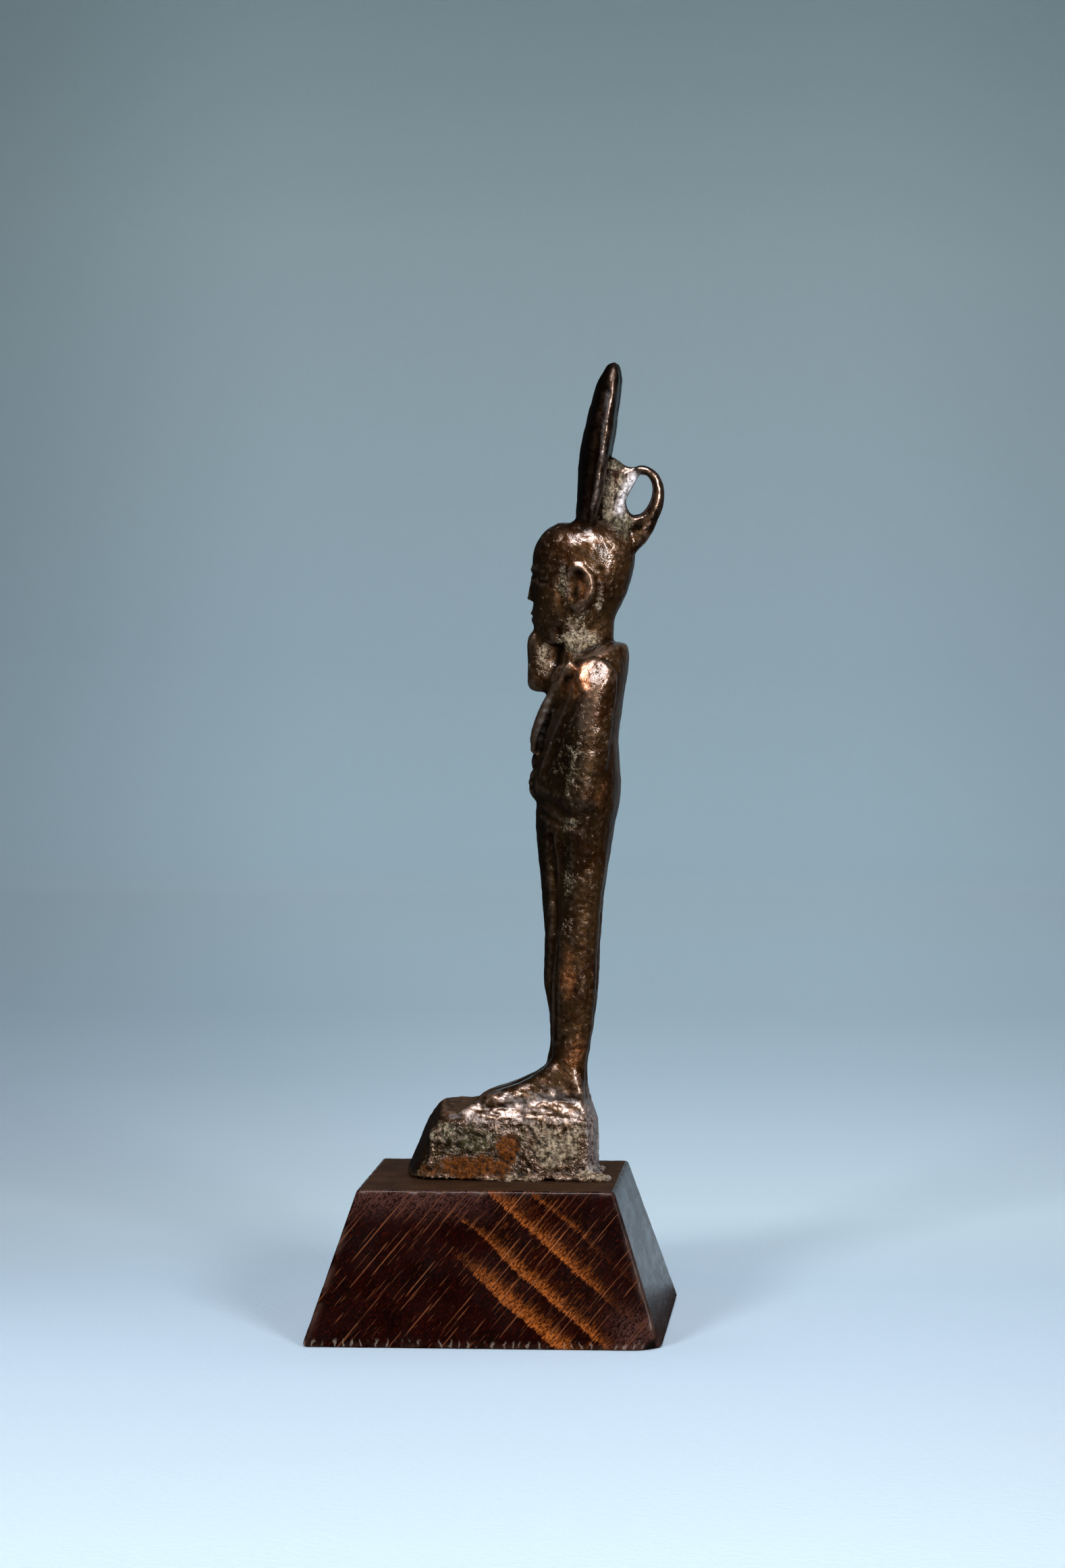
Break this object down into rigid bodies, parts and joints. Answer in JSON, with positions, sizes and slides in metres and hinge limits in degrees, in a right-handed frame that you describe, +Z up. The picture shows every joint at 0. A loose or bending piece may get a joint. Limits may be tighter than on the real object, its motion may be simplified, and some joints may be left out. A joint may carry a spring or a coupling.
{
  "type": "egyptian bronze deity figure",
  "caption": "Small bronze standing mummiform god with tall double-plume crown, false beard, crook and flail and a suspension loop, cast with a low base, on a tapered wooden plinth.",
  "frame": {"origin": "centre of the plinth's underside", "axes": "+Z up, the figure faces -Y, its left side is +X"},
  "size_m": [0.0464, 0.0464, 0.128],
  "materials": {
    "bronze": "cast bronze with a dark brown patina, glossy on the high points, grey-green and rusty crust in the hollows",
    "stained_oak": "dark red-brown stained oak, satin varnish"
  },
  "bodies": {
    "root": {"bronze_figure": "bronze", "wooden_plinth": "stained_oak"}
  },
  "joints": []
}
